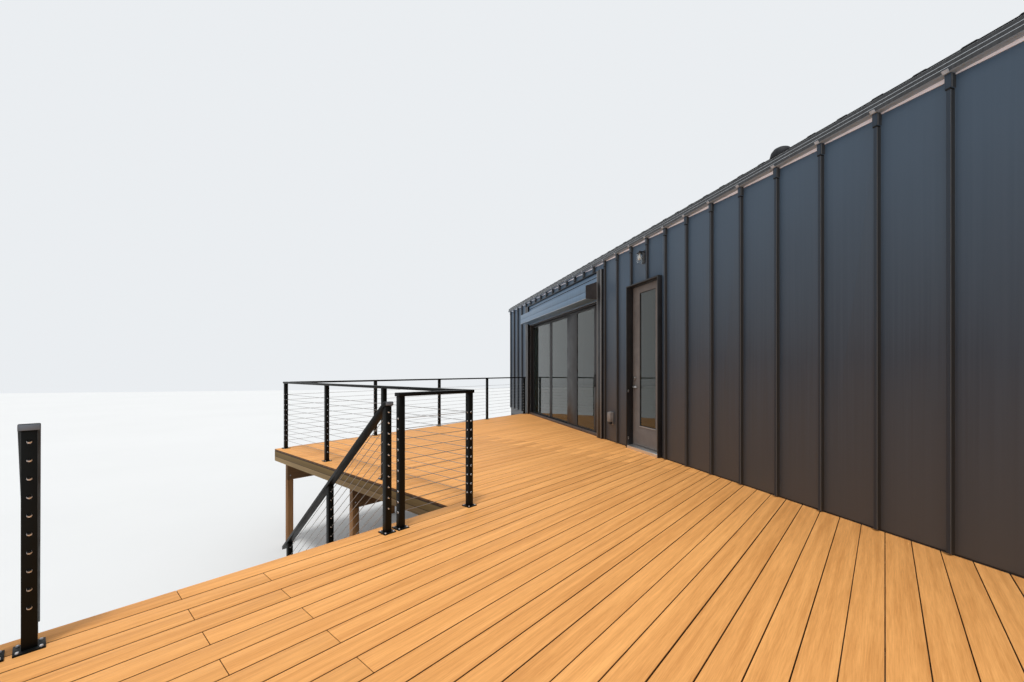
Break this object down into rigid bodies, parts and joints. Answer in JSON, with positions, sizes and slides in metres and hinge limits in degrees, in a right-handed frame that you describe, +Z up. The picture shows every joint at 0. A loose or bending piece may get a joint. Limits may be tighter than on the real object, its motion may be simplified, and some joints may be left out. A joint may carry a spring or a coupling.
{
  "type": "shipping container cabin",
  "caption": "Long box cabin in ribbed dark steel cladding, with a sliding door, an entry door, and a raised angled deck with cable guards and a stair.",
  "frame": {"origin": "on the ground under the middle of the front foundation wall", "axes": "+X along the cabin, +Y from the deck side to the back, +Z up"},
  "size_m": [14.7624, 9.3054, 5.182],
  "materials": {
    "masonry": "plain cement render, matt",
    "lining": "painted board, matt",
    "indoor_floor": "sealed boards, satin",
    "cladding": "charcoal coil coating, semi-gloss",
    "flashing": "charcoal coil coating, semi-gloss",
    "roof_steel": "charcoal paint, satin",
    "black_frame": "black powder coat, satin",
    "glazing": "clear reflective double glazing",
    "steel_fittings": "satin nickel",
    "mill_aluminium": "mill finish",
    "decking": "grained composite board, matt",
    "treated_timber": "brown treated timber, weathered",
    "joist_timber": "sawn timber",
    "guard_steel": "black powder coat, satin",
    "plastic_cover": "grey weatherproof plastic"
  },
  "bodies": {
    "root": {"foundation_side_walls": "masonry", "foundation_end_walls": "masonry", "floor": "indoor_floor", "wall_front_far": "lining", "wall_front_mid": "lining", "wall_front_near": "lining", "wall_over_slider": "lining", "wall_over_door": "lining", "wall_back": "lining", "walls_end": "lining", "roof_slab": "lining", "cladding_far": "cladding", "cladding_mid": "cladding", "cladding_near": "cladding", "cladding_over_slider": "cladding", "cladding_over_door": "cladding", "cladding_back": "cladding", "cladding_ends": "cladding", "eave_trim": "flashing", "roof_sheet": "roof_steel", "roof_vent": "roof_steel", "slider_surround": "black_frame", "slider_frame": "black_frame", "slider_fixed_panels": "black_frame", "slider_fixed_glass": "glazing", "slider_hood": "flashing", "header_band": "flashing", "door_frame": "black_frame", "door_threshold": "mill_aluminium", "wall_lamp": "black_frame", "outlet_cover": "plastic_cover", "decking_far": "decking", "decking_near": "decking", "treads": "decking", "rim_boards": "treated_timber", "rim_boards_front": "treated_timber", "ledger": "treated_timber", "joists": "joist_timber", "beams": "treated_timber", "deck_posts": "treated_timber", "stringers": "treated_timber", "guard_far": "guard_steel", "guard_front": "guard_steel", "guard_corner": "guard_steel", "stair_guards": "guard_steel", "guards_near": "guard_steel"},
    "entry_door": {"door_leaf": "black_frame", "door_glass": "glazing", "door_lever": "steel_fittings"},
    "slider_panel": {"sliding_panel": "black_frame", "sliding_glass": "glazing"}
  },
  "joints": [
    {"name": "entry_door_hinge", "type": "hinge", "parent": "root", "child": "entry_door", "pos_m": [1.339, -0.002, 2.8], "axis": [0, 0, -1], "range_deg": [0, 90]},
    {"name": "sliding_door_slide", "type": "slide", "parent": "root", "child": "slider_panel", "axis": [-1, 0, 0], "range_m": [-0.2, 1.15]}
  ]
}
